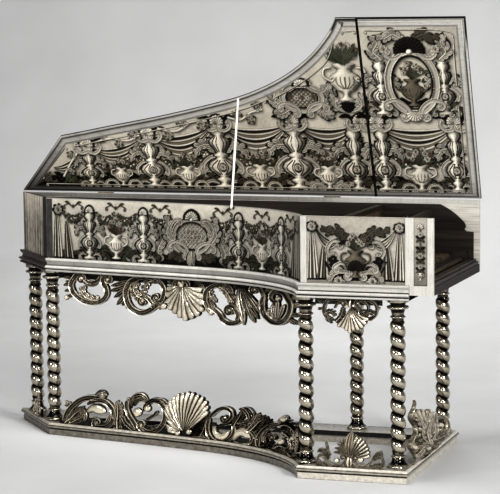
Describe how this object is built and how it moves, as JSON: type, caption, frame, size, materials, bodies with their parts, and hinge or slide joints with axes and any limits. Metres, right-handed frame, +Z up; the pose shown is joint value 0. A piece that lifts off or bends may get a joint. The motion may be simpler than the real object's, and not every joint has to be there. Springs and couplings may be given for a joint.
{
  "type": "harpsichord",
  "caption": "Wing-shaped harpsichord on a carved column stand with plinth, painted case and propped lid, working keys, jacks, lid, flap and stick.",
  "frame": {"origin": "on the floor, under the middle of the whole object's box, lid up as stored", "axes": "+X along the straight spine to the keyboard end, +Y to the spine where the lid is hinged, +Z up"},
  "size_m": [2.0478, 0.846, 1.7304],
  "materials": {
    "gilt_carving": "carved wood, worn dark gilding",
    "dark_wood": "dark stained, satin",
    "moulding": "pale paint over mouldings",
    "painted_case": "painted ornament on a pale ground",
    "painted_lid": "painted ornament on a grey ground",
    "ivory_paint": "pale paint",
    "cypress": "oiled",
    "soundboard": "thin varnish",
    "walnut": "oiled",
    "boxwood": "polished by use",
    "ebony": "polished by use",
    "brass": "aged brass",
    "steel": "drawn iron",
    "parchment": "cut parchment, matte"
  },
  "bodies": {
    "root": {"plinth_tail_rail": "gilt_carving", "plinth_bentside_rail": "gilt_carving", "plinth_cheek_rail": "gilt_carving", "plinth_front_rail": "gilt_carving", "plinth_spine_rail": "gilt_carving", "column_tail_spine": "gilt_carving", "column_tail_front": "gilt_carving", "column_mid_spine": "gilt_carving", "column_cheek_left": "gilt_carving", "column_cheek_right": "gilt_carving", "column_spine_right": "gilt_carving", "stand_spine_rail": "dark_wood", "stand_tail_rail": "dark_wood", "stand_bentside_rail": "moulding", "stand_cheek_rail": "moulding", "stand_front_rail": "dark_wood", "apron_bentside": "gilt_carving", "apron_cheek": "gilt_carving", "crest_bentside": "gilt_carving", "crest_cheek": "gilt_carving", "crest_front": "gilt_carving", "crest_tail": "gilt_carving", "case_floor": "dark_wood", "case_spine_wall": "painted_case", "case_bentside_wall": "painted_case", "case_cheek_wall": "painted_case", "case_tail_wall": "dark_wood", "case_front_rail": "dark_wood", "lid_hinge_tail": "brass", "lid_hinge_front": "brass", "inner_floor": "cypress", "inner_spine_wall": "cypress", "inner_bentside_wall": "cypress", "inner_cheek_wall": "cypress", "inner_tail_wall": "cypress", "inner_front_batten": "walnut", "belly_rail": "cypress", "soundboard": "soundboard", "rose": "parchment", "bridge": "walnut", "nut": "walnut", "wrestplank": "walnut", "tuning_pins": "steel", "strings": "brass", "jack_register": "walnut", "jack_rail": "walnut", "key_frame": "walnut", "nameboard": "cypress", "keyboard_keys": "boxwood"},
    "lid": {"main_lid": "painted_lid", "flap_hinge_upper": "brass", "flap_hinge_lower": "brass"},
    "flap": {"front_flap": "painted_lid"},
    "stick": {"lid_stick": "ivory_paint"},
    "key_c_body": {"key_c": "boxwood"},
    "key_c_sharp_body": {"key_c_sharp": "ebony"},
    "key_d_body": {"key_d": "boxwood"},
    "jack_c_body": {"jack_c": "walnut"},
    "jack_c_sharp_body": {"jack_c_sharp": "walnut"},
    "jack_d_body": {"jack_d": "walnut"}
  },
  "joints": [
    {"name": "lid_hinge", "type": "hinge", "parent": "root", "child": "lid", "pos_m": [0, 0.406, 0.995], "axis": [1, 0, 0], "range_deg": [0, 68]},
    {"name": "flap_hinge", "type": "hinge", "parent": "lid", "child": "flap", "pos_m": [0.58844, 0.26708, 1.37568], "axis": [0, -0.3746, 0.9272], "range_deg": [0, 175]},
    {"name": "stick_pivot", "type": "hinge", "parent": "root", "child": "stick", "pos_m": [0.13094, -0.0805, 0.992], "axis": [1, 0, 0], "range_deg": [0, 204]},
    {"name": "key_c_press", "type": "hinge", "parent": "root", "child": "key_c_body", "pos_m": [0.75594, 0.00992, 0.755], "axis": [0, 1, 0], "range_deg": [0, 1.95], "stiffness_Nm_per_rad": 1, "springref_deg": -5.73},
    {"name": "key_c_sharp_press", "type": "hinge", "parent": "root", "child": "key_c_sharp_body", "pos_m": [0.75594, -0.00385, 0.755], "axis": [0, 1, 0], "range_deg": [0, 1.95], "stiffness_Nm_per_rad": 1, "springref_deg": -5.73},
    {"name": "key_d_press", "type": "hinge", "parent": "root", "child": "key_d_body", "pos_m": [0.75594, -0.01762, 0.755], "axis": [0, 1, 0], "range_deg": [0, 1.95], "stiffness_Nm_per_rad": 1, "springref_deg": -5.73},
    {"name": "jack_c_rise", "type": "slide", "parent": "root", "child": "jack_c_body", "axis": [0, 0, 1], "range_m": [0, 0.005]},
    {"name": "jack_c_sharp_rise", "type": "slide", "parent": "root", "child": "jack_c_sharp_body", "axis": [0, 0, 1], "range_m": [0, 0.005]},
    {"name": "jack_d_rise", "type": "slide", "parent": "root", "child": "jack_d_body", "axis": [0, 0, 1], "range_m": [0, 0.005]}
  ],
  "couplings": [
    {"joint": "stick_pivot", "follows": "lid_hinge", "ratio": 3},
    {"joint": "jack_c_rise", "follows": "key_c_press", "m_per_rad": 0.145},
    {"joint": "jack_c_sharp_rise", "follows": "key_c_sharp_press", "m_per_rad": 0.145},
    {"joint": "jack_d_rise", "follows": "key_d_press", "m_per_rad": 0.145}
  ]
}
